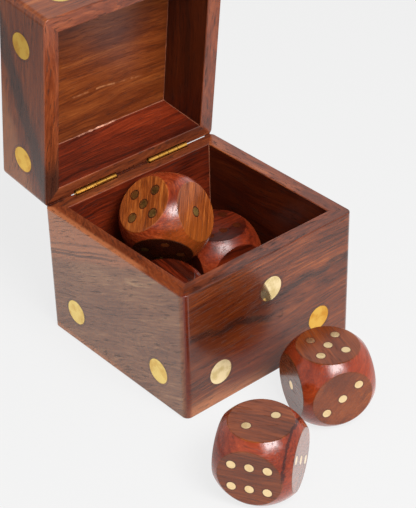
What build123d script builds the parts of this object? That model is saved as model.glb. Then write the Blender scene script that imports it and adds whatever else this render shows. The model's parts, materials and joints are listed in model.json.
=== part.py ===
"""Wooden dice box made as one large die, with a hinged lid and five brass-pipped dice.

The origin is the centre of the underside, X runs along the front, Y towards the
hinges and Z up. The lid stands open on its stop. Its pieces are drawn in the
closed box's measures and placed by the lid's opened frame.
"""

import os
from math import cos, radians, sin, sqrt

from build123d import *

os.makedirs("parts", exist_ok=True)

# Driving dimensions, in millimetres and degrees

# box
box_width = 82.0
box_depth = 80.0
body_height = 54.4
lid_height = 27.5
wall = 6.5
base_thickness = 6.5
top_thickness = 4.8
rim_gap = 0.5
corner_radius = 2.6
body_edge_round = 0.8
lid_edge_round = 1.8
rim_ease = 0.4

# brass discs in the box
inlay_radius = 5.0
inlay_depth = 2.0
inlay_clearance = 0.08
inlay_margin = 14.0
front_inlay_margin = 16.5
lid_front_inlay_margin = 15.7
lid_front_inlay_drop = 15.7
side_inlay_margin = 15.5
lid_left_inlay_offset = 1.0
centre_inlay_height = 39.0
top_inlay_margin = 21.0

# hinges
hinge_length = 19.2
hinge_spacing = 35.2
hinge_inset = 0.9
knuckle_count = 4
knuckle_gap = 0.2
barrel_radius = 1.1
barrel_clearance = 0.35
pin_radius = 0.55
pin_clearance = 0.05
leaf_thickness = 0.7
leaf_depth = 8.0
leaf_clearance = 0.05
lid_opening = 83.2
stop_clearance = 0.3

# brads through the hinge leaves
brad_radius = 0.5
brad_length = 5.0
brad_head_radius = 1.0
brad_head_thickness = 0.5
brad_clearance = 0.05
brad_spacing = 10.0
brad_depth = 5.2

# dice
die_size = 28.0
die_ball_radius = 18.0
die_edge_round = 0.5
pip_radius = 1.6
pip_depth = 1.5
pip_clearance = 0.05
pip_step = 4.8
two_step = 4.0
three_step = (6.0, 4.8)
six_step = (6.3, 4.7)

# where the dice lie, the first three inside the box
seat_gap = 0.3
seating_steps = 12
right_die_turn = -5.6
right_die_share = 0.2
right_die_y = 10.1
left_die_turn = 85.4
left_die_y = -2.9
upper_die_turns = (-47.6, 38.7, -61.1)
upper_die_x = -3.7
upper_die_gap = 1.1
corner_die_turn = -58.9
corner_die_x = -43.5
corner_die_distance = 42.3
front_die_turn = -21.0
front_die_x = 2.0
front_die_distance = 27.7

# Places worked out from them

closed_height = body_height + rim_gap + lid_height
hinge_y = box_depth / 2 - hinge_inset
hinge_z = body_height + rim_gap / 2
lid_low = body_height + rim_gap
cavity_x = box_width / 2 - wall
cavity_y = box_depth / 2 - wall
knuckle_pitch = hinge_length / knuckle_count

body_place = Location()
lid_place = Pos(0, hinge_y, hinge_z) * Rot(-lid_opening, 0, 0) * Pos(0, -hinge_y, -hinge_z)

# A wall's turn about Z, and half the box along it and across it
wall_layout = {
    "front": (0, box_width / 2, box_depth / 2),
    "right": (90, box_depth / 2, box_width / 2),
    "back": (180, box_width / 2, box_depth / 2),
    "left": (270, box_depth / 2, box_width / 2),
}

lower_row = inlay_margin
upper_row = closed_height - inlay_margin
front_spread = box_width / 2 - front_inlay_margin
lid_front_spread = box_width / 2 - lid_front_inlay_margin
lid_front_row = closed_height - lid_front_inlay_drop
side_spread = box_depth / 2 - side_inlay_margin
top_spread = box_width / 2 - top_inlay_margin

# Centres of the discs on each outer face: along the wall to the right, and up
body_inlays = {
    "front": [(-front_spread, lower_row), (front_spread, lower_row), (0, centre_inlay_height)],
    "left": [(-side_spread, lower_row), (side_spread, lower_row)],
    "back": [(front_spread, lower_row)],
    "right": [(-side_spread, lower_row), (0, centre_inlay_height)],
}
lid_inlays = {
    "front": [(-lid_front_spread, lid_front_row), (lid_front_spread, lid_front_row)],
    "left": [(x - lid_left_inlay_offset, upper_row) for x in (-side_spread, side_spread)],
    "back": [(-front_spread, upper_row)],
    "right": [(side_spread, upper_row)],
}

hinge_centres = {"left": -hinge_spacing / 2, "right": hinge_spacing / 2}


def finish(piece, name):
    """Label a finished piece and write it."""
    piece.part.label = name
    export_step(piece.part, f"parts/{name}.step")


def wall_face(place, side):
    """The outer face of a wall, with X along it to the right and Y up."""
    turn, _, across = wall_layout[side]
    outward = Pos(0, -across, 0) * Rot(90, 0, 0)
    return Plane(place * Rot(0, 0, turn) * outward)


# Walls and panels


def ring_of_walls(place, low, height, closed_end, edge_round):
    """The four walls in one, rounded at the corners and along the closed end."""
    with BuildPart() as ring:
        with BuildSketch(Plane(place * Pos(0, 0, low))):
            RectangleRounded(box_width, box_depth, corner_radius)
            Rectangle(2 * cavity_x, 2 * cavity_y, mode=Mode.SUBTRACT)
        extrude(amount=height)
        up = Axis(Plane(place).origin, Plane(place).z_dir)
        shut, rim = (0, -1) if closed_end == "low" else (-1, 0)
        ends = ring.faces().filter_by(Plane(place)).sort_by(up)
        fillet(ends[shut].outer_wire().edges(), edge_round)
        ends = ring.faces().filter_by(Plane(place)).sort_by(up)
        fillet(ends[rim].edges(), rim_ease)
    return ring


def stop_bevel(place, up):
    """What bevels the back edge at the rim, so that the two bevels meet when the lid is open."""
    slope = radians(lid_opening / 2)
    along = Vector(cos(slope), up * sin(slope)) * wall
    outward = Vector(sin(slope), -up * cos(slope))
    middle = Vector(hinge_y, hinge_z) - outward * (stop_clearance / 2)
    beyond = outward * wall
    with BuildPart() as cut:
        with BuildSketch(Plane(place * Plane.YZ.location)):
            Polygon(middle - along, middle + along, middle + along + beyond, middle - along + beyond)
        extrude(amount=box_width / 2, both=True)
    return cut


def hinge_seats(place, up):
    """The rim's notch for each barrel and the saw kerf for each leaf."""
    notch = barrel_radius + barrel_clearance
    kerf = leaf_thickness + 2 * leaf_clearance
    kerf_y = hinge_y - barrel_radius + leaf_thickness / 2
    kerf_depth = leaf_depth + leaf_clearance
    with BuildPart() as cut:
        for centre in hinge_centres.values():
            with BuildSketch(Plane(place * Pos(centre, 0, 0) * Plane.YZ.location)):
                with Locations((hinge_y - notch, hinge_z)):
                    Rectangle(notch + wall, 2 * notch, align=(Align.MIN, Align.CENTER))
                with Locations((kerf_y, hinge_z + up * kerf_depth / 2)):
                    Rectangle(kerf, kerf_depth)
            extrude(amount=hinge_length / 2 + barrel_clearance, both=True)
    return cut


def brads(place, up, clearance=0.0):
    """The brads of one side of both hinges, driven in from the back, or the holes for them."""
    face = wall_face(place, "back")
    across = [x + half * brad_spacing / 2 for x in hinge_centres.values() for half in (-1, 1)]
    spots = [(x, hinge_z + up * brad_depth) for x in across]
    with BuildPart() as nails:
        for radius, depth in ((brad_radius, brad_length), (brad_head_radius, brad_head_thickness)):
            with BuildSketch(face.offset(-depth - clearance)):
                with Locations(*spots):
                    Circle(radius + clearance)
            extrude(amount=depth + clearance)
    return nails


def mitred_wall(ring, place, side, low, height, discs, cuts=()):
    """One wall of the ring, cut along its mitres, with its discs' recesses."""
    turn, along, across = wall_layout[side]
    beyond = corner_radius
    inner = wall + corner_radius
    with BuildPart() as piece:
        add(ring.part)
        with BuildSketch(Plane(place * Pos(0, 0, low) * Rot(0, 0, turn))):
            Polygon(
                (-along - beyond, -across - beyond),
                (along + beyond, -across - beyond),
                (along - inner, -across + inner),
                (-along + inner, -across + inner),
            )
        extrude(amount=height, mode=Mode.INTERSECT)
        with BuildSketch(wall_face(place, side)):
            with Locations(*discs):
                Circle(inlay_radius + inlay_clearance)
        extrude(amount=-inlay_depth, mode=Mode.SUBTRACT)
        for cut in cuts:
            add(cut.part, mode=Mode.SUBTRACT)
    return piece


def panel(place, low, thickness, discs=()):
    """The board held between the four walls at the closed end."""
    with BuildPart() as board:
        with BuildSketch(Plane(place * Pos(0, 0, low))):
            Rectangle(2 * cavity_x, 2 * cavity_y)
        extrude(amount=thickness)
        if discs:
            with BuildSketch(Plane(place * Pos(0, 0, low + thickness))):
                with Locations(*discs):
                    Circle(inlay_radius + inlay_clearance)
            extrude(amount=-inlay_depth, mode=Mode.SUBTRACT)
    return board


def disc_inlays(face, discs):
    """Flush brass discs on one face."""
    with BuildPart() as inlays:
        with BuildSketch(face.offset(-inlay_depth)):
            with Locations(*discs):
                Circle(inlay_radius)
        extrude(amount=inlay_depth)
    return inlays


def hinge_cuts(place, up):
    """Everything that is cut from a back wall for the hinges."""
    return stop_bevel(place, up), hinge_seats(place, up), brads(place, up, brad_clearance)


body_ring = ring_of_walls(body_place, 0, body_height, "low", body_edge_round)
lid_ring = ring_of_walls(lid_place, lid_low, lid_height, "high", lid_edge_round)
body_cuts = {"back": hinge_cuts(body_place, -1)}
lid_cuts = {"back": hinge_cuts(lid_place, 1)}

for side, discs in body_inlays.items():
    cuts = body_cuts.get(side, ())
    finish(mitred_wall(body_ring, body_place, side, 0, body_height, discs, cuts), f"body_{side}_wall")
    finish(disc_inlays(wall_face(body_place, side), discs), f"body_{side}_inlays")

for side, discs in lid_inlays.items():
    cuts = lid_cuts.get(side, ())
    finish(mitred_wall(lid_ring, lid_place, side, lid_low, lid_height, discs, cuts), f"lid_{side}_wall")
    finish(disc_inlays(wall_face(lid_place, side), discs), f"lid_{side}_inlays")

body_base = panel(body_place, 0, base_thickness)
finish(body_base, "body_base")

top_discs = [(x, y) for x in (-top_spread, top_spread) for y in (-side_spread, 0, side_spread)]
lid_top = panel(lid_place, closed_height - top_thickness, top_thickness, top_discs)
finish(lid_top, "lid_top")
lid_top_inlays = disc_inlays(Plane(lid_place * Pos(0, 0, closed_height)), top_discs)
finish(lid_top_inlays, "lid_top_inlays")


# Hinges


def hinge_leaf(place, centre, up, first_knuckle):
    """A leaf set on edge in its kerf, with every second knuckle of the barrel."""
    left_end = centre - hinge_length / 2
    leaf_y = hinge_y - barrel_radius
    plate_start = barrel_radius + barrel_clearance
    knuckle = knuckle_pitch - knuckle_gap
    starts = [
        left_end + n * knuckle_pitch + knuckle_gap / 2
        for n in range(first_knuckle, knuckle_count, 2)
    ]
    with BuildPart() as leaf:
        with BuildSketch(Plane(place * Pos(0, leaf_y, hinge_z) * Rot(90, 0, 0))):
            with Locations((centre, up * (plate_start + leaf_depth) / 2)):
                Rectangle(hinge_length, leaf_depth - plate_start)
            for start in starts:
                with Locations((start, up * plate_start / 2)):
                    Rectangle(knuckle, plate_start, align=(Align.MIN, Align.CENTER))
            with Locations(*[(centre + half * brad_spacing / 2, up * brad_depth) for half in (-1, 1)]):
                Circle(brad_radius + brad_clearance, mode=Mode.SUBTRACT)
        extrude(amount=-leaf_thickness)
        for start in starts:
            with BuildSketch(Plane(place * Pos(start, 0, 0) * Plane.YZ.location)):
                with Locations((hinge_y, hinge_z)):
                    Circle(barrel_radius)
            extrude(amount=knuckle)
        with BuildSketch(Plane(place * Pos(left_end, 0, 0) * Plane.YZ.location)):
            with Locations((hinge_y, hinge_z)):
                Circle(pin_radius + pin_clearance)
        extrude(amount=hinge_length, mode=Mode.SUBTRACT)
    return leaf


def hinge_pin(centre):
    """The pin through all the knuckles of one hinge."""
    with BuildPart() as pin:
        with BuildSketch(Plane(Pos(centre - hinge_length / 2, hinge_y, hinge_z) * Plane.YZ.location)):
            Circle(pin_radius)
        extrude(amount=hinge_length)
    return pin


for side, centre in hinge_centres.items():
    finish(hinge_leaf(body_place, centre, -1, 0), f"hinge_{side}_body_leaf")
    finish(hinge_leaf(lid_place, centre, 1, 1), f"hinge_{side}_lid_leaf")
    finish(hinge_pin(centre), f"hinge_{side}_pin")

finish(brads(body_place, -1), "body_hinge_brads")
finish(brads(lid_place, 1), "lid_hinge_brads")


# Dice


def die_faces(frame):
    """The six flat faces of a die, each with its origin at the face's centre."""
    turns = {
        "top": Rot(0, 0, 0),
        "front": Rot(90, 0, 0),
        "right": Rot(0, 0, 90) * Rot(90, 0, 0),
        "back": Rot(0, 0, 180) * Rot(90, 0, 0),
        "left": Rot(0, 0, 270) * Rot(90, 0, 0),
        "bottom": Rot(180, 0, 0),
    }
    return {side: Plane(frame * turn * Pos(0, 0, die_size / 2)) for side, turn in turns.items()}


def pip_spots(count, falling):
    """Where the pips of one face go, with its diagonal rising to the right, or falling."""
    lean = -1 if falling else 1
    three_x, three_y = three_step
    six_x, six_y = six_step
    corners = [(x, y) for x in (-pip_step, pip_step) for y in (-pip_step, pip_step)]
    spots = {
        1: [(0, 0)],
        2: [(n * two_step, n * lean * two_step) for n in (-1, 1)],
        3: [(n * three_x, n * lean * three_y) for n in (-1, 0, 1)],
        4: corners,
        5: [(0, 0)] + corners,
        6: [(x, y) for x in (-six_x, 0, six_x) for y in (-six_y, six_y)],
    }
    return spots[count]


def die_blank(frame):
    """A cube cut by a ball and eased where they meet, before the pips are let in."""
    with BuildPart(Plane(frame)) as blank:
        Box(die_size, die_size, die_size)
        Sphere(die_ball_radius, mode=Mode.INTERSECT)
        fillet(blank.edges(), die_edge_round)
    return blank


def pip_pins(frame, counts, falling, radius):
    """Round pins as deep as the pips, on all six faces."""
    faces = die_faces(frame)
    with BuildPart() as pins:
        for side, count in counts.items():
            with BuildSketch(faces[side].offset(-pip_depth)):
                with Locations(*pip_spots(count, count in falling)):
                    Circle(radius)
            extrude(amount=pip_depth)
    return pins


def die_and_pips(frame, counts, falling):
    """A die with its brass pips, ground flush with its surface."""
    blank = die_blank(frame)
    holes = pip_pins(frame, counts, falling, pip_radius + pip_clearance)
    with BuildPart() as die:
        add(blank.part)
        add(holes.part, mode=Mode.SUBTRACT)
    with BuildPart() as pips:
        add(pip_pins(frame, counts, falling, pip_radius).part)
        add(blank.part, mode=Mode.INTERSECT)
    return die, pips


def counts_from(front, top, right):
    """The pips on all six faces, where opposite faces add up to seven."""
    return {
        "front": front,
        "back": 7 - front,
        "top": top,
        "bottom": 7 - top,
        "right": right,
        "left": 7 - right,
    }


def reach_across(turn):
    """How far a flat-lying die reaches along X from its centre, turned about Z."""
    skew = radians(min(turn % 90, 90 - turn % 90))
    flat_radius = min(sqrt(die_ball_radius**2 - (die_size / 2) ** 2), die_size / 2)
    return die_size / 2 * cos(skew) + flat_radius * sin(skew)


def let_down(frame, supports):
    """The frame, lowered until its die lies the seat gap above the nearest support."""
    blank = die_blank(frame).part
    drop = 0
    for _ in range(seating_steps):
        lowered = blank.moved(Pos(0, 0, -drop))
        drop += min(lowered.distance_to(support) for support in supports) - seat_gap
    return Pos(0, 0, -drop) * frame


lower_z = base_thickness + seat_gap + die_size / 2
right_reach = reach_across(right_die_turn)
left_reach = reach_across(left_die_turn)
play = 2 * (cavity_x - right_reach - left_reach) - 3 * seat_gap
right_x = cavity_x - seat_gap - right_die_share * play - right_reach
left_x = -cavity_x + seat_gap + left_reach
right_die = Pos(right_x, right_die_y, lower_z) * Rot(0, 0, right_die_turn)
left_die = Pos(left_x, left_die_y, lower_z) * Rot(0, 0, left_die_turn)

upper_y = cavity_y - upper_die_gap - die_ball_radius
upper_start = Pos(upper_die_x, upper_y, closed_height) * Rot(*upper_die_turns)
seats = (die_blank(right_die).part, die_blank(left_die).part, body_base.part)
upper_die = let_down(upper_start, seats)

corner_y = -box_depth / 2 - corner_die_distance
front_y = -box_depth / 2 - front_die_distance
corner_die = Pos(corner_die_x, corner_y, die_size / 2) * Rot(0, 0, corner_die_turn)
front_die = Pos(front_die_x, front_y, die_size / 2) * Rot(0, 0, front_die_turn)

# The upper die, the two under it, and the two in front of the box, each with
# its front, top and right count and the counts whose diagonal falls
dice = [
    (upper_die, counts_from(5, 3, 1), ()),
    (right_die, counts_from(3, 6, 5), ()),
    (left_die, counts_from(4, 1, 5), ()),
    (corner_die, counts_from(6, 2, 3), (3,)),
    (front_die, counts_from(3, 5, 6), ()),
]

for number, (frame, counts, falling) in enumerate(dice, start=1):
    die, pips = die_and_pips(frame, counts, falling)
    finish(die, f"die_{number}")
    finish(pips, f"die_{number}_pips")
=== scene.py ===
"""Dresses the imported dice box: figured rosewood boards, brass discs, hinges and rounded dice.

The file is laid out as an add-on and run as a script. It loads the fixed frame first,
and each operator then finishes one group of pieces.
"""

import json
from math import copysign, cos, hypot, radians, sin

import bmesh
import bpy
from mathutils import Euler, Matrix, Vector, noise


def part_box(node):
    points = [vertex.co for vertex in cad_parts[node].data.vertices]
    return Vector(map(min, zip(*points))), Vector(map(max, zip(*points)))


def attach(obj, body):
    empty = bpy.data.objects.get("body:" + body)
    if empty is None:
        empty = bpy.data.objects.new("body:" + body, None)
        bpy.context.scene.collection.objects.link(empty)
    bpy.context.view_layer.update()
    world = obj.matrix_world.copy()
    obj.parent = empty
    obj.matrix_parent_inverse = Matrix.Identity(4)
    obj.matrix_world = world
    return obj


bl_info = {
    "name": "Dice Box",
    "version": (1, 0, 0),
    "blender": (4, 5, 0),
    "location": "View3D > Sidebar > Dice Box",
    "description": "Finishes a wooden dice box with brass discs, hinges and five dice",
    "category": "Object",
}

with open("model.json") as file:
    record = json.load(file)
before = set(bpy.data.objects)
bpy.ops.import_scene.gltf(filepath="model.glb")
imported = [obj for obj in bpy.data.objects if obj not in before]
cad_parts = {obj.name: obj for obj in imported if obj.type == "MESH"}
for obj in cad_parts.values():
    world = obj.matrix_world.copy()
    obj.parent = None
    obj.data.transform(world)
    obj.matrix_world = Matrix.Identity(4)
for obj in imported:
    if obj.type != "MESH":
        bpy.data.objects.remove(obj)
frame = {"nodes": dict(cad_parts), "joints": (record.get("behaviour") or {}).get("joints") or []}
nodes = frame["nodes"]
joints = {joint["name"]: joint for joint in frame["joints"]}
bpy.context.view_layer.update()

MM = 0.001
HINGE = Vector(joints["lid_hinge"]["pos_m"]) / MM
OPENING = radians(-joints["lid_hinge"]["range_deg"][0])
CLOSING = Matrix.Rotation(OPENING, 3, "X")


def box_mm(name):
    """Lowest and highest corner of a CAD node, in millimetres."""
    return [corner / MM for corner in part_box(name)]


def closed(point):
    """Where a point of the open lid lies once the lid is closed, in millimetres."""
    return CLOSING @ (point - HINGE) + HINGE


def opened(point):
    """Where a point of the closed lid lies once the lid is open, in millimetres."""
    return CLOSING.inverted() @ (Vector(point) - HINGE) + HINGE


def tilted(direction):
    """A direction on the closed lid, once the lid is open."""
    return CLOSING.inverted() @ Vector(direction)


# The box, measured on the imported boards, in millimetres
WIDTH = box_mm("body_front_wall")[1].x
DEPTH = -box_mm("body_front_wall")[0].y
RIM = box_mm("body_front_wall")[1].z
FLOOR = box_mm("body_base")[1].z
CAVITY_X = box_mm("body_right_wall")[0].x
CAVITY_Y = box_mm("body_back_wall")[0].y
RIM_MIDDLE = HINGE.z
LID_RIM = 2 * HINGE.z - RIM

# How far the edges of the rims and the upright ends are eased
EASED = 0.4


def lid_ceiling():
    """Height of the inner face of the lid's top, in the closed box."""
    return min(closed(vert.co / MM).z for vert in nodes["lid_top"].data.vertices)


# Shader maths


def linear(red, green, blue):
    """A colour written as it looks on screen, 0 to 255, in the light that shaders work in."""
    parts = [part / 255 for part in (red, green, blue)]
    return tuple(p / 12.92 if p <= 0.04045 else ((p + 0.055) / 1.055) ** 2.4 for p in parts)


class Field:
    """A shader socket that takes part in sums and products."""

    def __init__(self, net, socket):
        self.net = net
        self.socket = socket

    def maths(self, operation, *others):
        return self.net.add("ShaderNodeMath", {"operation": operation}, (self, *others))

    def __add__(self, other):
        return self.maths("ADD", other)

    def __sub__(self, other):
        return self.maths("SUBTRACT", other)

    def __mul__(self, other):
        return self.maths("MULTIPLY", other)

    def __rsub__(self, other):
        return self.net.add("ShaderNodeMath", {"operation": "SUBTRACT"}, (other, self))

    def __abs__(self):
        return self.maths("ABSOLUTE")

    __radd__ = __add__
    __rmul__ = __mul__

    def rises(self, start, end):
        """0 where the value is at start, 1 at end, eased between them."""
        settings = {"interpolation_type": "SMOOTHSTEP"}
        return self.net.add("ShaderNodeMapRange", settings, (self, start, end, 0.0, 1.0))


def span(first, second):
    """The length of two fields that stand at right angles."""
    return (first * first + second * second).maths("SQRT")


class Net:
    """The node tree of one material, or of the world."""

    def __init__(self, owner):
        self.owner = owner
        owner.use_nodes = True
        self.tree = owner.node_tree
        self.tree.nodes.clear()

    def add(self, kind, settings=None, inputs=(), output=0):
        """A new node: its settings first, then its inputs by number or name."""
        node = self.tree.nodes.new(kind)
        for key, value in (settings or {}).items():
            if key == "stops":
                self.fill_ramp(node.color_ramp, value)
            else:
                setattr(node, key, value)
        pairs = inputs.items() if isinstance(inputs, dict) else enumerate(inputs)
        for key, value in pairs:
            if isinstance(value, Field):
                self.tree.links.new(value.socket, node.inputs[key])
            else:
                node.inputs[key].default_value = value
        return Field(self, node.outputs[output])

    @staticmethod
    def fill_ramp(ramp, stops):
        while len(ramp.elements) < len(stops):
            ramp.elements.new(0.5)
        for element, (position, colour) in zip(ramp.elements, stops):
            element.position = position
            element.color = (*colour, 1.0)

    def outputs(self, kind, *names):
        """The named outputs of a new node, as fields."""
        node = self.tree.nodes.new(kind)
        return [Field(self, node.outputs[name]) for name in names]

    def mixed(self, factor, first, second, blend="MIX"):
        """Two colours mixed."""
        settings = {"data_type": "RGBA", "blend_type": blend}
        values = {0: factor, 6: first, 7: second}
        for key in (6, 7):
            if not isinstance(values[key], Field):
                values[key] = (*values[key], 1.0)
        return self.add("ShaderNodeMix", settings, values, output=2)

    def ramp(self, factor, stops):
        return self.add("ShaderNodeValToRGB", {"stops": stops}, (factor,))

    def moved(self, vector, offset):
        return self.add("ShaderNodeVectorMath", {"operation": "ADD"}, (vector, offset))

    def scaled(self, vector, factors):
        return self.add("ShaderNodeVectorMath", {"operation": "MULTIPLY"}, (vector, factors))

    def length(self, vector):
        return self.add("ShaderNodeVectorMath", {"operation": "LENGTH"}, (vector,), output=1)

    def dot(self, vector, direction):
        """How far a vector reaches in a direction."""
        return self.add("ShaderNodeVectorMath", {"operation": "DOT_PRODUCT"}, (vector, direction), output=1)

    def joined(self, *parts):
        return self.add("ShaderNodeCombineXYZ", inputs=parts)

    def split(self, vector):
        parts = self.add("ShaderNodeSeparateXYZ", inputs=(vector,)).socket.node.outputs
        return [Field(self, part) for part in parts]

    def cloud(self, vector, scales, detail=2.0, rough=0.5, colour=False):
        """Soft noise about 0.5, with so many waves to the millimetre along each axis."""
        inputs = {"Vector": self.scaled(vector, scales), "Scale": 1.0, "Detail": detail, "Roughness": rough}
        return self.add("ShaderNodeTexNoise", {}, inputs, output=1 if colour else 0)

    def bands(self, value, detail=2.0, rough=0.5):
        """Soft noise along one value, about 0.5."""
        inputs = {"W": value, "Scale": 1.0, "Detail": detail, "Roughness": rough}
        return self.add("ShaderNodeTexNoise", {"noise_dimensions": "1D"}, inputs)

    def object_mm(self):
        """Object coordinates, in millimetres."""
        return self.scaled(self.add("ShaderNodeTexCoord", output=3), (1 / MM,) * 3)

    def bump(self, height, strength, distance=0.03, normal=None):
        """A bump so many millimetres high, on a normal of its own where one is given."""
        inputs = {"Strength": strength, "Distance": distance * MM, "Height": height}
        if normal:
            inputs["Normal"] = normal
        return self.add("ShaderNodeBump", {}, inputs)

    def surface(self, **sockets):
        """The Principled shader, with sockets named by words joined by underscores."""
        inputs = {name.replace("_", " "): value for name, value in sockets.items()}
        return self.add("ShaderNodeBsdfPrincipled", inputs=inputs)

    def finish(self, surface):
        world = isinstance(self.owner, bpy.types.World)
        output = self.tree.nodes.new("ShaderNodeOutputWorld" if world else "ShaderNodeOutputMaterial")
        self.tree.links.new(surface.socket, output.inputs["Surface"])
        return self.owner


def new_net(name):
    return Net(bpy.data.materials.new(name))


# Wood

# A board's own axes: along the grain, up or across its face, and through it
FRONT_BOARD = Matrix(((1, 0, 0), (0, 0, 1), (0, -1, 0)))
SIDE_BOARD = Matrix(((0, 1, 0), (0, 0, 1), (1, 0, 0)))
FLAT_BOARD = Matrix.Identity(3)
THROUGH = 2

# What a wood's own colour is multiplied by, from its darkest streaks to its palest
TONES = ((0.21, 0.20, 0.28), (0.55, 0.53, 0.59), (1.0, 1.0, 1.0), (1.56, 1.84, 1.86), (2.38, 3.60, 3.90))


def tone_stops(wood):
    """Evenly spaced ramp stops, from a wood's darkest streaks to its palest."""
    return [
        (0.2 + 0.15 * n, tuple(part * tone for part, tone in zip(wood, tones)))
        for n, tones in enumerate(TONES)
    ]


PALE_EDGE = linear(172, 108, 68)
INK = linear(40, 18, 12)
PORE = linear(24, 8, 4)
POLISH_IOR = 1.43


def own_axes(net, turn, origin=Vector(), on_lid=False):
    """Object coordinates in millimetres, seen along a piece's own axes; a lid piece's in the closed box."""
    shift = turn @ -origin
    if on_lid:
        shift = turn @ (HINGE - CLOSING @ HINGE)
        turn = turn @ CLOSING
    place = net.add("ShaderNodeTexCoord", output=3)
    inputs = {"Vector": place, "Location": shift, "Rotation": turn.to_euler(), "Scale": (1 / MM,) * 3}
    return net.add("ShaderNodeMapping", {"vector_type": "POINT"}, inputs)


def grain(net, place, seed, pith, straight=1.0):
    """Coordinates along the fibre, outward from the pith and round it, with the grain's waver."""
    offset = (97.0 * seed, 13.0 * seed, 31.0 * seed)
    own = net.moved(place, offset)
    drift = net.cloud(own, (0.012, 0.05, 0.05), colour=True)
    drift = net.scaled(net.moved(drift, (-0.5,) * 3), (0.0, 12.0 / straight, 12.0 / straight))
    ripple = net.cloud(own, (0.06, 0.25, 0.25), colour=True)
    ripple = net.scaled(net.moved(ripple, (-0.5,) * 3), (0.0, 1.4, 1.4))
    bent = net.moved(net.moved(place, drift), ripple)
    along, up, through = net.split(bent)
    dy, dz = up - pith[0], through - pith[1]
    ring = span(dy, dz)
    turn = dz.maths("ARCTAN2", dy) * Vector(pith).length
    return net.joined(along + offset[0], ring + offset[1], turn + offset[2]), own


def rosewood(name, turn, wood, origin=Vector(), on_lid=False, seed=1, slope=0.0, pith=(-60.0, 40.0),
             zones=0.35, figure=0.55, fine=0.5, ink=0.35, tone=0.0, pores=0.6, straight=1.0,
             other=None, other_tone=0.0, marks=None, inlays=None, normal=None, roughness=0.17, inside=0.0):
    """Dense reddish-brown wood with dark streaks, fine fibres and open pores.

    Other is a second wood, with the function that finds where it shows. Inside is how much
    duller the wood is where the polish doesn't reach.
    """
    net = new_net(name)
    face = own_axes(net, turn, origin, on_lid)
    place = own_axes(net, Matrix.Rotation(radians(slope), 3, "Z") @ turn, origin, on_lid)
    fibres, own = grain(net, place, seed, pith, straight)
    ring = net.split(fibres)[1]

    zone = net.bands(ring * 0.13 + seed, detail=1.0)
    growth = net.bands(ring * 0.7 + 3.7 * seed, detail=3.0, rough=0.7)
    streaks = net.cloud(fibres, (0.05, 1.0, 0.32), detail=4.0, rough=0.68)
    hairs = net.cloud(fibres, (0.09, 2.0, 1.0), detail=3.0, rough=0.7)
    patches = net.cloud(own, (0.025, 0.07, 0.07))
    pore = net.cloud(fibres, (0.16, 2.4, 1.8), detail=1.0).rises(0.59, 0.69)

    shade = (zone - 0.5) * zones + (growth - 0.5) * (0.5 * figure) + (streaks - 0.5) * figure
    shade = shade + (hairs - 0.5) * fine + (patches - 0.5) * 0.35 + (0.5 + tone)
    colour = net.ramp(shade, tone_stops(wood))
    if other:
        other_wood, where = other
        other_colour = net.ramp(shade + (other_tone - tone), tone_stops(other_wood))
        colour = net.mixed(where(net, face), colour, other_colour)
    breaks = net.cloud(own, (0.02, 0.11, 0.11), detail=1.0).rises(0.42, 0.58)
    streak = net.bands(ring * 0.36 + 11.0 * seed, detail=4.0, rough=0.6).rises(0.56, 0.64)
    colour = net.mixed(streak * breaks * ink, colour, INK)
    if marks:
        colour = marks(net, colour, face)
    if inlays:
        colour = glue_lines(net, colour, face, **inlays)
    colour = net.mixed(pore * pores, colour, PORE)

    dull = roughness + hairs * 0.06 + pore * 0.2
    if inside:
        through = abs(net.split(face)[2])
        dull = dull + through.rises(CAVITY_X + 2.5, CAVITY_X + 0.8) * inside
    relief = hairs * 0.5 - pore + streaks * 0.3
    bump = net.bump(relief, 0.3, normal=normal(net, face) if normal else None)
    return net.finish(net.surface(Base_Color=colour, Roughness=dull, Normal=bump, IOR=POLISH_IOR))


def on_rim(net, place):
    """Where a board shows its rim, at the edge that meets the other half of the box."""
    return abs(net.split(place)[1] - RIM_MIDDLE).rises(0.75, 0.45)


# What the boards show on their faces, in millimetres along, up and through a board


def from_spot(along, up, centre, scales):
    """How far a point of a face lies from the middle of an oval spot; the scales say how fast it rises."""
    return span((along - centre[0]) * scales[0], (up - centre[1]) * scales[1])


def near_line(net, place, height, rise, half_width, soft, wobble=1.5):
    """1 along a wavering line on a board's face, at a height mid-board and rising along it."""
    along, up, _ = net.split(place)
    waver = (net.bands(along * 0.07 + height, detail=3.0) - 0.5) * (2 * wobble)
    return abs(up - along * rise - height + waver).rises(half_width + soft, half_width)


def islands(name):
    """The separate lumps of a node's mesh: the middle of each, in millimetres."""
    mesh = bmesh.new()
    mesh.from_mesh(nodes[name].data)
    left, middles = set(mesh.verts), []
    while left:
        lump, edge = set(), {left.pop()}
        while edge:
            vert = edge.pop()
            lump.add(vert)
            near = {e.other_vert(vert) for e in vert.link_edges} & left
            left -= near
            edge |= near
        corners = [[pick(vert.co[axis] for vert in lump) for axis in range(3)] for pick in (min, max)]
        middles.append((Vector(corners[0]) + Vector(corners[1])) / 2 / MM)
    mesh.free()
    return middles


def lifted(centre, axis, lift):
    """A place so far outside the face that an inlay is let into."""
    place = Vector(centre)
    place[axis] += copysign(lift, place[axis])
    return place


def glue_lines(net, colour, place, centres, radius, lift, weight):
    """A dark hairline of glue round each round inlay; the centres are lifted off the face."""
    near = None
    for centre in centres:
        away = net.add("ShaderNodeVectorMath", {"operation": "DISTANCE"}, (place, centre), output=1)
        near = near.maths("MINIMUM", away) if near else away
    line = abs(near - hypot(radius, lift)).rises(0.32, 0.10)
    return net.mixed(line * weight, colour, INK)


def shaded_upright_edge(net, colour, distance):
    """Painted shade: a redder, darker band on a rounded upright edge, so many millimetres away."""
    return net.mixed(distance.rises(2.4, 0.4) * 0.75, colour, linear(84, 24, 12))


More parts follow.
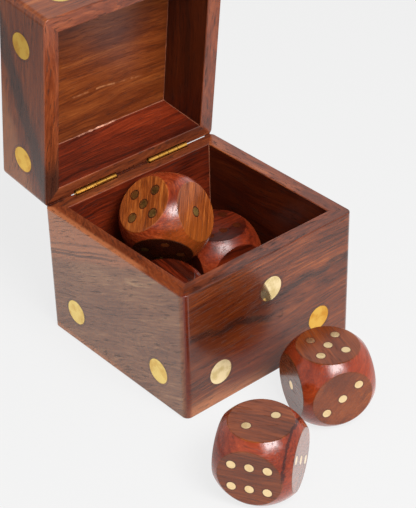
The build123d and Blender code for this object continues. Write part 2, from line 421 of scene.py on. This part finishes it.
def front_wall_marks(net, colour, place):
    """Dark heart, a painted reflection of the dice low in the middle, a pale edge at the left foot, dark
    streaks, a pit in the rim and painted shade on the left upright edge.
    """
    along, up, through = net.split(place)
    outer = through.rises(DEPTH - 2.0, DEPTH - 0.5)
    threads = net.cloud(place, (0.05, 1.6, 0.3), detail=4.0, rough=0.7)
    heart = from_spot(along, up, (-20.0, 34.0), (0.030, 0.050))
    heart = (heart + (threads - 0.5)).rises(1.15, 0.45)
    colour = net.mixed(heart * outer * 0.6, colour, linear(60, 16, 2))
    # Painted reflection: the wall is darkened low in the middle, where its polish mirrors the dark dice that
    # stand in front of it.
    painted_dice_reflection = from_spot(along, up, (-8.0, 14.0), (0.050, 0.070))
    painted_dice_reflection = (painted_dice_reflection + (threads - 0.5)).rises(1.2, 0.4)
    colour = net.mixed(painted_dice_reflection * outer * 0.4, colour, linear(84, 20, 2))
    edge = up + along * 0.06 + (threads - 0.5) * 16.0
    colour = net.mixed(edge.rises(6.5, -1.0) * along.rises(4.0, -6.0) * 0.6, colour, PALE_EDGE)
    first = near_line(net, place, 34.5, 0.05, 0.6, 2.4, wobble=2.5)
    second = near_line(net, place, 27.5, -0.20, 0.5, 2.2, wobble=3.0)
    for line, reach in ((first, along.rises(-12.0, 10.0)), (second, along.rises(8.0, -4.0))):
        colour = net.mixed(line * reach * threads.rises(0.30, 0.55) * 0.9, colour, INK)
    pit = net.length(net.moved(place, (-0.8, -RIM, -37.1))).rises(0.9, 0.4)
    colour = net.mixed(pit * 0.8, colour, linear(56, 20, 8))
    # Painted shade along the rounded upright edge at the front left.
    return shaded_upright_edge(net, colour, along + WIDTH)


def torn_and_shaded_edge_marks(net, colour, place):
    """Chipped wood along the hinge edge, between the hinges and at the left end, darkened to near black as
    painted shade in the slit under the open lid.
    """
    along, up, through = net.split(place)
    ragged = (net.cloud(place, (1.1, 0.9, 0.9), detail=3.0, rough=0.7) - 0.5) * 3.4
    edge = (ragged - through).rises(HINGE.y - 0.9, HINGE.y - 0.3)
    reach = abs(along).rises(8.6, 7.6).maths("MAXIMUM", along.rises(-31.0, -34.0))
    near = abs(up - RIM_MIDDLE).rises(1.6, 0.8)
    # Painted shade in the slit at the hinge, laid over the chipped wood.
    return net.mixed(edge * reach * near * 0.85, colour, linear(38, 13, 7))


def left_wall_marks(net, colour, place):
    """Paler wood above dark lines at the back, a swirl at the front, a pale strip at the foot and painted
    shade on the front upright edge.
    """
    along, up, through = net.split(place)
    outer = through.rises(2.0 - WIDTH, 0.5 - WIDTH)
    back = along.rises(-12.0, 8.0) * outer
    waver = (net.bands(along * 0.1 + 2.0, detail=3.0) - 0.5) * 2.4
    above = (up + waver + along * 0.40).rises(46.0, 50.0)
    colour = net.mixed(above * outer * 0.65, colour, linear(172, 104, 66))
    for height, half_width, weight in ((50.2, 0.35, 0.65), (51.8, 0.2, 0.55), (54.8, 0.2, 0.4)):
        line = near_line(net, place, height, -0.40, half_width, 0.4, wobble=0.8)
        colour = net.mixed(line * back * weight, colour, INK)
    foot = (up + waver * 0.4).rises(3.4, 1.6) * along.rises(-16.0, 6.0)
    colour = net.mixed(foot * 0.7, colour, PALE_EDGE)
    swirl = from_spot(along, up, (-21.0, 22.0), (0.8, 1.0)) + waver
    rings = net.bands(swirl * 0.9, detail=2.0).rises(0.48, 0.62) * swirl.rises(13.0, 6.0)
    colour = net.mixed(rings * outer * 0.25, colour, INK)
    # Painted shade along the rounded upright edge at the front.
    return shaded_upright_edge(net, colour, along + DEPTH)


def lid_left_marks(net, colour, place):
    """A broad dark streak from the top front down to the rim at the back, and a paler band above it."""
    along, up, _ = net.split(place)
    waver = (net.bands(along * 0.05 + 9.0, detail=3.0) - 0.5) * 5.0
    across = up + along * 0.47 + waver
    dark = abs(across - 69.5).rises(6.5, 2.0)
    pale = across.rises(77.0, 84.0)
    colour = net.mixed(pale * 0.5, colour, linear(160, 104, 68))
    return net.mixed(dark * 0.72, colour, linear(40, 27, 23))


def lid_top_marks(net, colour, place):
    """A dusky patch and a pale scratch on the inner face."""
    along, up, _ = net.split(place)
    patch = from_spot(along, up, (10.0, -6.0), (0.05, 0.09)).rises(1.1, 0.2)
    colour = net.mixed(patch * 0.45, colour, linear(62, 27, 18))
    scratch = near_line(net, place, 15.2, 0.075, 0.1, 0.5, wobble=0.8)
    broken = net.bands(along * 0.22, detail=3.0).rises(0.40, 0.60)
    reach = along.rises(-14.0, -8.0) * along.rises(25.0, 14.0)
    return net.mixed(scratch * reach * broken * 0.45, colour, linear(206, 140, 92))


BOARDS = {
    "body_front_wall": dict(turn=FRONT_BOARD, seed=1, slope=-2.0, zones=0.2, figure=0.65, fine=0.75,
                            ink=0.45, tone=-0.05, other_tone=-0.09, marks=front_wall_marks),
    "body_back_wall": dict(turn=FRONT_BOARD, wood="red_heartwood", seed=2, tone=-0.11, marks=torn_and_shaded_edge_marks),
    "body_left_wall": dict(turn=SIDE_BOARD, wood="grey_heartwood", seed=3, slope=24.0, zones=0.12, figure=0.2,
                           fine=0.6, ink=0.0, pores=0.5, tone=0.07, other_tone=-0.06, marks=left_wall_marks),
    "body_right_wall": dict(turn=SIDE_BOARD, wood="dark_heartwood", seed=4),
    "body_base": dict(turn=FLAT_BOARD, wood="dark_heartwood", seed=5),
    "lid_front_wall": dict(turn=FRONT_BOARD, seed=6, tone=0.06),
    "lid_back_wall": dict(turn=FRONT_BOARD, wood="red_heartwood", seed=7, tone=-0.12, marks=torn_and_shaded_edge_marks),
    "lid_left_wall": dict(turn=SIDE_BOARD, seed=8, zones=0.2, figure=0.45, ink=0.2, tone=0.03,
                          other_tone=0.04, marks=lid_left_marks),
    "lid_right_wall": dict(turn=SIDE_BOARD, wood="dark_heartwood", seed=9, tone=0.05),
    "lid_top": dict(turn=FLAT_BOARD, seed=10, zones=0.3, figure=0.45, fine=0.5, ink=0.1, pores=0.35,
                    tone=0.03, marks=lid_top_marks),
}


# Dice

# The way of a die's grain, and how each die lies: its turns about X, Y and Z
GRAIN_ALONG = {
    "X": Matrix.Identity(3),
    "Y": Matrix(((0, 1, 0), (1, 0, 0), (0, 0, -1))),
    "Z": Matrix(((0, 0, 1), (1, 0, 0), (0, 1, 0))),
}
DICE = {
    "die_1": dict(turns=(-47.6, 38.7, -61.1), way="Z", wood="red_heartwood", flats="orange_heartwood",
                  seed=21, figure=0.7, fine=0.8, zones=0.2, tone=0.07, roughness=0.20, weight=0.9),
    "die_2": dict(turns=(0, 0, -5.6), way="X", wood="red_heartwood", flats="red_heartwood",
                  seed=22, tone=0.06, other_tone=-0.14, roughness=0.27, weight=0.3),
    "die_3": dict(turns=(0, 0, 85.4), way="X", wood="red_heartwood", flats="red_heartwood",
                  seed=23, tone=-0.10, other_tone=-0.22, figure=0.8, ink=0.8, roughness=0.20, weight=0.7),
    "die_4": dict(turns=(0, 0, -58.9), way="X", wood="red_heartwood", flats="heartwood",
                  seed=24, tone=0.06, zones=0.25, figure=0.4, ink=0.4, weight=0.35),
    "die_5": dict(turns=(0, 0, -21.0), way="Y", wood="red_heartwood", flats="heartwood",
                  seed=25, tone=0.08, zones=0.2, figure=0.35, fine=0.35, pith=(62.0, 51.0), roughness=0.16,
                  weight=0.35),
}

# The line of glue round a pip or disc: its radius, how far outside the face its centre is set, and how
# dark it is; and how deep under the face the middle of the brass lies
PIP = dict(radius=1.63, lift=1.0)
PIP_SUNK = 0.75
DISC = dict(radius=5.04, lift=4.0, weight=0.45)
DISC_SUNK = 1.0

# Half the distance between two opposite flats of a die
DIE_HALF = (box_mm("die_5")[1].z - box_mm("die_5")[0].z) / 2


def farthest(net, place):
    """How far a point of a die lies from its middle, toward the nearest flat."""
    x, y, z = (abs(part) for part in net.split(place))
    return x.maths("MAXIMUM", y).maths("MAXIMUM", z)


def on_flats(net, place):
    """Where the flats of a die are ground, and its stained ball is cut away."""
    return farthest(net, place).rises(DIE_HALF - 0.30, DIE_HALF - 0.08)


def ball_normal(origin):
    """The true normal of the ball between a die's flats."""

    def normal(net, place):
        out = net.moved(net.object_mm(), -origin)
        settings = {"vector_type": "NORMAL", "convert_from": "OBJECT", "convert_to": "WORLD"}
        out = net.add("ShaderNodeVectorTransform", settings, (out,))
        out = net.add("ShaderNodeVectorMath", {"operation": "NORMALIZE"}, (out,))
        flat = net.add("ShaderNodeNewGeometry", output=1)
        ball = farthest(net, place).rises(DIE_HALF - 0.16, DIE_HALF - 0.22)
        return net.add("ShaderNodeMix", {"data_type": "VECTOR"}, {0: ball, 4: flat, 5: out}, output=1)

    return normal


def die_4_thread(turn):
    """A dark thread of bark that winds over the ball of one die, and the plane that it lies in."""
    across = turn @ Vector((-0.51, 0.86, 0.0))

    def marks(net, colour, place):
        side = net.dot(place, across)
        waver = net.cloud(place, (0.35,) * 3, detail=4.0, rough=0.7) - 0.5
        beads = net.cloud(place, (0.9,) * 3, detail=2.0)
        line = abs(side + 11.43 + waver * 2.4).rises(0.7, 0.2) * beads.rises(0.25, 0.42)
        height = net.split(place)[2]
        return net.mixed(line * height.rises(-1.0, 3.0) * 0.9, colour, linear(46, 10, 6))

    return marks


def die_1_painted_shade_and_gold(turn):
    """Painted shade, over darker wood, on the flat that faces down, and a golden patch on the ball above it.
    """
    down = [round(part) for part in turn @ Vector((-0.63, -0.58, -0.53))]
    below = turn @ Vector((-0.10, -0.96, -0.25))

    def marks(net, colour, place):
        colour = net.mixed(net.dot(place, below).rises(8.0, 17.0) * 0.5, colour, linear(140, 70, 22))
        # Painted shade: the flat that faces down is turned near black, for the shade under the die as well as
        # its darker wood.
        flat = net.dot(place, down).rises(DIE_HALF - 0.4, DIE_HALF - 0.1)
        return net.mixed(flat * 0.85, colour, linear(34, 10, 5))

    return marks


DIE_MARKS = {"die_1": die_1_painted_shade_and_gold, "die_4": die_4_thread}


# Brass


def brass(name, bright, dull, seed, roughness=0.12, patchy=1.0, worn=1.0, golden=None):
    """Ground brass, a little tarnished in patches, with fine scratches.

    Golden is a place along X in millimetres, past which the brass has two deeper colours.
    """
    net = new_net(name)
    own = net.moved(net.object_mm(), (41.0 * seed, 17.0 * seed, 59.0 * seed))
    patch = net.cloud(own, (0.25,) * 3, detail=3.0, rough=0.6).rises(0.40, 0.68)
    scratch = net.cloud(own, (0.7, 9.0, 0.9))
    colour = net.mixed(patch * patchy, bright, dull)
    if golden:
        x, deep, deepest = golden
        past = net.split(net.object_mm())[0].rises(x - 1, x + 1)
        colour = net.mixed(past, colour, net.mixed(patch, deep, deepest))
    shader = net.surface(
        Base_Color=colour,
        Metallic=1.0,
        Roughness=(patch * 0.10 + scratch * 0.06) * worn + roughness,
        Normal=net.bump(scratch, 0.15 * worn, 0.02),
    )
    return net.finish(shader)


def old_glue(name, thick):
    """Old glue, stained like the wood, and pale where it is thick."""
    net = new_net(name)
    cloud = net.cloud(net.object_mm(), (0.3, 0.3, 0.3), detail=4.0, rough=0.65)
    colour = net.mixed(cloud.rises(0.35, 0.65), linear(112, 60, 38), thick)
    return net.finish(net.surface(Base_Color=colour, Roughness=0.6))


# Pieces

# Where the hinge edge is torn, along X: at its left end, between the hinges and at its right end
SPLINTER_RUNS = ((-WIDTH + EASED, -29.0), (-7.8, 7.8), (37.6, WIDTH - EASED))
SPLINTER_STEP = 0.25

# Where glue ran out thick at the lid's back corner, along X, and how many steps a bead of glue has
GLUE_RUN = (-9.0, 10.0)
BEAD_STEPS = 60


def dress(name, material):
    """Give a CAD node its finish."""
    nodes[name].data.materials.clear()
    nodes[name].data.materials.append(material)


def new_piece(name, parts, material, body):
    """An object made of bmeshes in millimetres, riding a body of the part."""
    data = bpy.data.meshes.new(name)
    whole = bmesh.new()
    for part in parts:
        part.to_mesh(data)
        part.free()
        whole.from_mesh(data)
    bmesh.ops.scale(whole, verts=whole.verts, vec=(MM,) * 3)
    bmesh.ops.recalc_face_normals(whole, faces=whole.faces)
    whole.to_mesh(data)
    whole.free()
    data.materials.append(material)
    piece = bpy.data.objects.new(name, data)
    bpy.context.collection.objects.link(piece)
    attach(piece, body)


def bar(start, end, first, second, steps, shape):
    """A bar from start to end, cut into steps; shape gives its section's corners at each step."""
    mesh = bmesh.new()
    bmesh.ops.create_cube(mesh, size=1.0, matrix=Matrix.Translation((0.5, 0.5, 0.5)))
    long_edges = [edge for edge in mesh.edges if abs(edge.verts[0].co.x - edge.verts[1].co.x) > 0.5]
    bmesh.ops.subdivide_edges(mesh, edges=long_edges, cuts=steps, use_grid_fill=True)
    for vert in mesh.verts:
        along, a, b = vert.co
        a, b = shape(along * steps, a, b)
        vert.co = Vector(start).lerp(Vector(end), along) + Vector(first) * a + Vector(second) * b
    return mesh


def bead(start, end, first, second, size, seed):
    """An uneven bead of glue along an inner corner, between the two faces that first and second run up.

    Its free edge is drawn in toward the corner, so that its face is hollow.
    """

    def shape(step, a, b):
        wide = size * (0.75 + 0.7 * noise.noise(Vector((step * 0.21, seed, 0.0))))
        deep = size * (0.75 + 0.7 * noise.noise(Vector((step * 0.17, seed, 7.0))))
        sunk = 0.36 if a > 0.5 and b > 0.5 else 1.0
        return a * wide * sunk, b * deep * sunk

    return bar(start, end, first, second, BEAD_STEPS, shape)


def splinters(left, right, seed):
    """Torn fibres along a stretch of the body's hinge edge, filling the slit under the open lid, where their
    dark finish is painted shade.

    They lie on the bevel of the edge: down runs along it, and out stands on it.
    """
    half = OPENING / 2
    down, out = Vector((0, cos(half), -sin(half))), Vector((0, sin(half), cos(half)))
    corner = HINGE + down * 0.21 - out * 0.15

    def shape(step, a, b):
        ragged = (0.2 + 0.2 * noise.noise(Vector((step * 0.9, seed, 3.0)))) * (1.0 - a) * b
        return 0.74 * a - ragged, (0.29 - 0.03 * a) * b

    start, end = (Vector((x, corner.y, corner.z)) for x in (left, right))
    return bar(start, end, down, out, round((right - left) / SPLINTER_STEP), shape)


def colour_property(name, description, *default):
    """A colour that a user may change; its default is written as it looks on screen, 0 to 255."""
    return bpy.props.FloatVectorProperty(
        name=name, description=description, subtype="COLOR", default=linear(*default), min=0, max=1,
    )


class DiceBoxWood(bpy.types.PropertyGroup):
    """The rosewoods, by their middle tones, and their glue."""

    heartwood: colour_property(
        "Heartwood", "Front walls, the lid's left wall and top, and the flats of two dice", 104, 46, 16,
    )
    red_heartwood: colour_property("Red heartwood", "Back walls and the dice", 110, 36, 14)
    grey_heartwood: colour_property("Grey heartwood", "The body's left wall", 108, 66, 44)
    dark_heartwood: colour_property("Dark heartwood", "Right walls, base and splinters", 66, 20, 4)
    orange_heartwood: colour_property("Orange heartwood", "The flats of the die on top", 128, 60, 22)
    rims: colour_property("Rims", "Where the boards meet between the body and the lid", 108, 49, 24)
    polish: bpy.props.FloatProperty(
        name="Polish", description="Roughness of the polished outer faces", default=0.17, min=0.02, max=0.8,
    )
    glue_width: bpy.props.FloatProperty(
        name="Glue width", description="Width of the glue in the inner corners", default=0.3 * MM, min=0,
        unit="LENGTH",
    )


class DiceBoxBrass(bpy.types.PropertyGroup):
    """The brass of the discs, pips and hinges."""

    front_discs: colour_property("Front discs", "Polished discs on the front", 228, 206, 160)
    discs: colour_property("Discs", "All other discs", 215, 187, 108)
    lid_discs: colour_property("Lid discs", "Discs on the lid's left side", 232, 186, 80)
    pips: colour_property("Pips", "Pips of the dice beside the box", 221, 195, 150)
    tarnish: colour_property("Tarnished pips", "Pips of the die on top", 190, 150, 84)
    hinges: colour_property("Hinges", "Leaves, barrels and brads", 216, 164, 78)


class DiceBoxStage(bpy.types.PropertyGroup):
    """Floor, lamps and camera."""

    background: colour_property("Background", "Colour of the floor and backdrop", 239, 239, 239)
    softbox_power: bpy.props.FloatProperty(
        name="Softbox power", description="Power of the lamp beside the camera", default=6.0, min=0,
        unit="POWER",
    )
    glow_power: bpy.props.FloatProperty(
        name="Glow power", description="Power of the softbox's wider, dimmer rim", default=4.0, min=0,
        unit="POWER",
    )
    ambient: bpy.props.FloatProperty(
        name="Ambient", description="Light that comes from all round", default=0.45, min=0,
    )
    ceiling: bpy.props.FloatProperty(
        name="Ceiling", description="Brightness of the dark ceiling, as glossy pieces see it", default=0.10,
        min=0,
    )
    floor_in_gloss: bpy.props.FloatProperty(
        name="Floor in gloss", description="Brightness of the floor, as glossy pieces see it", default=1.4,
        min=0,
    )


class DICEBOX_OT_boards(bpy.types.Operator):
    """Give every board of the box and the lid its own cut of rosewood"""

    bl_idname = "dicebox.boards"
    bl_label = "Boards"

    def execute(self, context):
        woods = context.scene.dice_box_wood
        for name, look in BOARDS.items():
            settings = dict(wood="heartwood", on_lid=name.startswith("lid"), roughness=woods.polish)
            settings.update(look)
            settings["wood"] = getattr(woods, settings["wood"])
            discs = name.replace("_wall", "") + "_inlays"
            if discs in nodes:
                middles = islands(discs)
                if settings["on_lid"]:
                    middles = [closed(middle) for middle in middles]
                lift = DISC["lift"] + DISC_SUNK
                centres = [lifted(look["turn"] @ middle, THROUGH, lift) for middle in middles]
                settings["inlays"] = dict(DISC, centres=centres)
            if name.endswith("_wall"):
                settings.update(other=(woods.rims, on_rim), inside=0.16)
            else:
                settings.update(roughness=0.3)
            dress(name, rosewood(f"rosewood_{name}", **settings))
        return {"FINISHED"}


class DICEBOX_OT_metal(bpy.types.Operator):
    """Give the discs, pips and hinges their brass"""

    bl_idname = "dicebox.metal"
    bl_label = "Brass"

    def execute(self, context):
        looks = context.scene.dice_box_brass
        golden = (12.0, linear(216, 168, 74), linear(196, 136, 44))
        pale = brass("brass_pale", looks.front_discs, linear(200, 176, 122), 1, roughness=0.02, worn=0.4,
                     golden=golden)
        gold = brass("brass_gold", looks.discs, linear(196, 158, 80), 2)
        warm = brass("brass_warm", looks.lid_discs, linear(212, 158, 58), 7)
        pip = brass("brass_pips", looks.pips, linear(205, 172, 120), 3, patchy=0.6)
        old = brass("brass_tarnished", looks.tarnish, linear(112, 84, 44), 4, roughness=0.35)
        dark = brass("brass_dark", linear(140, 68, 38), linear(108, 48, 26), 5, roughness=0.5)
        hinge = brass("brass_hinges", looks.hinges, linear(184, 132, 56), 6, roughness=0.2)
        own = {"body_front_inlays": pale, "lid_left_inlays": warm, "die_1_pips": old, "die_2_pips": dark,
               "die_3_pips": dark}
        for name in nodes:
            if name.endswith("_inlays"):
                dress(name, own.get(name, gold))
            elif name.endswith("_pips"):
                dress(name, own.get(name, pip))
            elif name.startswith("hinge_") or name.endswith("_brads"):
                dress(name, hinge)
        return {"FINISHED"}


class DICEBOX_OT_dice(bpy.types.Operator):
    """Give each die its own piece of rosewood"""

    bl_idname = "dicebox.dice"
    bl_label = "Dice"

    def execute(self, context):
        woods = context.scene.dice_box_wood
        for name, look in DICE.items():
            settings = dict(pith=(-40.0, 70.0), roughness=0.13, pores=0.35, straight=1.5, ink=0.3)
            settings.update(look)
            turns = [radians(-turn) for turn in settings.pop("turns")]
            turn = GRAIN_ALONG[settings.pop("way")] @ Euler(turns).to_matrix()
            low, high = box_mm(name)
            middle = (low + high) / 2
            centres = []
            for pip in islands(f"{name}_pips"):
                pip = turn @ (pip - middle)
                side = max(range(3), key=lambda axis: abs(pip[axis]))
                centres.append(lifted(pip, side, PIP["lift"] + PIP_SUNK))
            settings["inlays"] = dict(PIP, weight=settings.pop("weight"), centres=centres)
            settings["wood"] = getattr(woods, settings["wood"])
            settings["other"] = (getattr(woods, settings.pop("flats")), on_flats)
            if name in DIE_MARKS:
                settings["marks"] = DIE_MARKS[name](turn)
            settings.update(origin=middle, normal=ball_normal(middle))
            dress(name, rosewood(f"rosewood_{name}", turn, **settings))
        return {"FINISHED"}


class DICEBOX_OT_glue(bpy.types.Operator):
    """Lay the thin beads of old glue in the inner corners, and the dark splinters at the hinge edge, whose
    colour is partly painted shade in the slit
    """

    bl_idname = "dicebox.glue"
    bl_label = "Glue and splinters"

    def execute(self, context):
        woods = context.scene.dice_box_wood
        width = woods.glue_width / MM
        thin = old_glue("thin_glue", linear(140, 80, 54))
        thick = old_glue("thick_glue", linear(206, 146, 118))
        corner, top = (CAVITY_X, CAVITY_Y), lid_ceiling()
        seam = bead((*corner, FLOOR), (*corner, RIM - EASED), (-1, 0, 0), (0, -1, 0), width, 1)
        new_piece("glue_body_corner", [seam], thin, "box")
        up, back, left = tilted((0, 0, -1)), tilted((0, -1, 0)), Vector((-1, 0, 0))
        end = opened((*corner, top))
        seams = [
            bead(opened((-CAVITY_X, CAVITY_Y, top)), end, up, back, width, 2),
            bead(opened((*corner, LID_RIM + EASED)), end, back, left, width, 3),
            bead(opened((CAVITY_X, -CAVITY_Y, top)), end, up, left, width * 0.6, 4),
        ]
        new_piece("glue_lid_corners", seams, thin, "lid")
        start, stop = (opened((x, CAVITY_Y, top)) for x in GLUE_RUN)
        run = bead(start, stop, up, back, width * 1.8, 5)
        new_piece("glue_lid_run", [run], thick, "lid")
        # The splinters are dark heartwood: torn fibres, and their dark colour is also painted shade in the
        # slit under the lid.
        wood = woods.dark_heartwood
        fibres = rosewood("rosewood_splinters", FRONT_BOARD, wood, seed=31, figure=0.9, fine=0.9)
        torn = [splinters(start, end, number) for number, (start, end) in enumerate(SPLINTER_RUNS)]
        new_piece("hinge_edge_splinters", torn, fibres, "box")
        return {"FINISHED"}


# Stage

# The camera: its turn, tilt and roll in degrees, what it looks at and from how far in millimetres, and the
# picture's size, focal length and optical centre in pixels
CAMERA_ANGLES = (-41.4052, 34.5382, -0.6337)
CAMERA_TARGET = Vector((10.22, -11.11, 27.25))
CAMERA_DISTANCE = 609.8
PICTURE_WIDTH, PICTURE_HEIGHT = 416, 508
FOCAL_LENGTH = 1608.1
OPTICAL_CENTRE = (238.98, 271.14)
SENSOR = 36.0

# Where the lamps hang, to the camera's right, up and back, and their distance, width and height in metres
LAMPS_AT = (0.33, 0.31, 0.89)
SOFTBOX = (0.80, 0.36, 0.26)
GLOW = (0.82, 0.62, 0.50)

# The floor's half width, and how far it lies under the box, in metres
FLOOR_SIZE, FLOOR_DROP = 3.0, 0.0001

# What gloss sees: the floor brightens toward the box between two distances in millimetres, and the walls
# of the studio turn into its ceiling between two heights of the view
FLOOR_POOL = (260.0, 110.0)
FLOOR_FAR = 0.4
WALLS = 1.25
CEILING_EDGE = (0.66, 0.92)

# How much of the floor's colour is its own glow, to the eye and in gloss
GLOW_TO_EYE, GLOW_IN_GLOSS = 0.92, 0.6


def aimed(place, right, up, back):
    """The matrix of a camera or lamp at a place, which looks the opposite way of back."""
    return Matrix.Translation(place) @ Matrix((right, up, back)).transposed().to_4x4()


def camera_axes():
    """The camera's right, up and back."""
    yaw, pitch, roll = (radians(angle) for angle in CAMERA_ANGLES)
    back = Vector((sin(yaw) * cos(pitch), -cos(yaw) * cos(pitch), sin(pitch)))
    right = Vector((cos(yaw), sin(yaw), 0.0))
    up = back.cross(right)
    return right * cos(roll) + up * sin(roll), up * cos(roll) - right * sin(roll), back


def new_camera(right, up, back):
    """The camera, with its optical centre off the middle of the picture."""
    camera = bpy.data.objects.new("camera", bpy.data.cameras.new("camera"))
    lens = camera.data
    lens.sensor_width = SENSOR
    lens.lens = FOCAL_LENGTH / PICTURE_HEIGHT * SENSOR
    lens.shift_x = (PICTURE_WIDTH / 2 - OPTICAL_CENTRE[0]) / PICTURE_HEIGHT
    lens.shift_y = (OPTICAL_CENTRE[1] - PICTURE_HEIGHT / 2) / PICTURE_HEIGHT
    lens.clip_start = 0.01
    camera.matrix_world = aimed((CAMERA_TARGET + back * CAMERA_DISTANCE) * MM, right, up, back)
    return camera


def new_lamp(name, direction, size, power):
    """A soft oblong lamp that hangs in a direction and faces what the camera looks at."""
    distance, width, height = size
    lamp = bpy.data.lights.new(name, "AREA")
    lamp.shape = "RECTANGLE"
    lamp.size, lamp.size_y = width, height
    lamp.energy = power
    direction = direction.normalized()
    side = Vector((0, 0, 1)).cross(direction).normalized()
    holder = bpy.data.objects.new(name, lamp)
    place = CAMERA_TARGET * MM + direction * distance
    holder.matrix_world = aimed(place, side, direction.cross(side), direction)
    return holder


def pale_floor(looks):
    """The floor's finish: it takes the shadow, shows its own colour, and is a bright pool in gloss."""
    net = new_net("pale_floor")
    rays = ("Is Camera Ray", "Is Glossy Ray", "Is Transmission Ray")
    eye, gloss, through = net.outputs("ShaderNodeLightPath", *rays)
    paper = (*looks.background, 1.0)
    plain = net.add("ShaderNodeBsdfDiffuse", inputs=(paper,))
    x, y, _ = net.split(net.object_mm())
    pool = span(x, y).rises(*FLOOR_POOL) * (looks.floor_in_gloss - FLOOR_FAR) + FLOOR_FAR
    glow = net.add("ShaderNodeEmission", inputs=(paper, 1.0))
    bright = net.add("ShaderNodeEmission", inputs=(paper, pool))
    to_eye = net.add("ShaderNodeMixShader", inputs=(GLOW_TO_EYE, plain, glow))
    in_gloss = net.add("ShaderNodeMixShader", inputs=(GLOW_IN_GLOSS, plain, bright))
    direct = net.add("ShaderNodeMixShader", inputs=(eye, plain, to_eye))
    mirrored = gloss.maths("MAXIMUM", through)
    return net.finish(net.add("ShaderNodeMixShader", inputs=(mirrored, direct, in_gloss)))


def studio(looks):
    """The world: even light all round, a plain backdrop, and a dark ceiling that only gloss sees."""
    net = Net(bpy.data.worlds.new("studio"))
    eye, gloss = net.outputs("ShaderNodeLightPath", "Is Camera Ray", "Is Glossy Ray")
    paper = (*looks.background, 1.0)
    height = net.split(net.add("ShaderNodeTexCoord", output=0))[2]
    ceiling = height.rises(*CEILING_EDGE) * (looks.ceiling - WALLS) + WALLS
    ambient = net.add("ShaderNodeBackground", inputs=((1, 1, 1, 1), looks.ambient))
    mirrored = net.add("ShaderNodeBackground", inputs=(paper, ceiling))
    backdrop = net.add("ShaderNodeBackground", inputs=(paper, 1.0))
    lit = net.add("ShaderNodeMixShader", inputs=(gloss, ambient, mirrored))
    return net.finish(net.add("ShaderNodeMixShader", inputs=(eye, lit, backdrop)))


class DICEBOX_OT_stage(bpy.types.Operator):
    """Set up the pale floor, the lamps and the camera"""

    bl_idname = "dicebox.stage"
    bl_label = "Stage"

    def execute(self, context):
        looks = context.scene.dice_box_stage
        axes = camera_axes()
        camera = new_camera(*axes)
        context.collection.objects.link(camera)
        context.scene.camera = camera

        direction = sum((axis * part for axis, part in zip(axes, LAMPS_AT)), Vector())
        context.collection.objects.link(new_lamp("key_softbox", direction, SOFTBOX, looks.softbox_power))
        context.collection.objects.link(new_lamp("key_glow", direction, GLOW, looks.glow_power))

        mesh = bmesh.new()
        bmesh.ops.create_grid(mesh, x_segments=1, y_segments=1, size=FLOOR_SIZE)
        bmesh.ops.translate(mesh, verts=mesh.verts, vec=(0, 0, -FLOOR_DROP))
        floor = bpy.data.objects.new("floor", bpy.data.meshes.new("floor"))
        mesh.to_mesh(floor.data)
        mesh.free()
        context.collection.objects.link(floor)
        floor.data.materials.append(pale_floor(looks))

        context.scene.world = studio(looks)
        context.scene.view_settings.view_transform = "Standard"
        return {"FINISHED"}


class DICEBOX_PT_panel(bpy.types.Panel):
    """The steps of the dice box"""

    bl_label = "Dice Box"
    bl_idname = "DICEBOX_PT_panel"
    bl_space_type = "VIEW_3D"
    bl_region_type = "UI"
    bl_category = "Dice Box"

    def draw(self, context):
        for step in STEPS:
            self.layout.operator(step.bl_idname)
        for name, group in GROUPS.items():
            for prop in group.__annotations__:
                self.layout.prop(getattr(context.scene, name), prop)


STEPS = (DICEBOX_OT_boards, DICEBOX_OT_metal, DICEBOX_OT_dice, DICEBOX_OT_glue, DICEBOX_OT_stage)
GROUPS = {"dice_box_wood": DiceBoxWood, "dice_box_brass": DiceBoxBrass, "dice_box_stage": DiceBoxStage}
CLASSES = (*GROUPS.values(), *STEPS, DICEBOX_PT_panel)


def register():
    for cls in CLASSES:
        bpy.utils.register_class(cls)
    for name, group in GROUPS.items():
        setattr(bpy.types.Scene, name, bpy.props.PointerProperty(type=group))


def unregister():
    for name in GROUPS:
        delattr(bpy.types.Scene, name)
    for cls in reversed(CLASSES):
        bpy.utils.unregister_class(cls)


def main():
    register()
    bpy.ops.dicebox.boards()
    bpy.ops.dicebox.metal()
    bpy.ops.dicebox.dice()
    bpy.ops.dicebox.glue()
    bpy.ops.dicebox.stage()


if __name__ == "__main__":
    main()
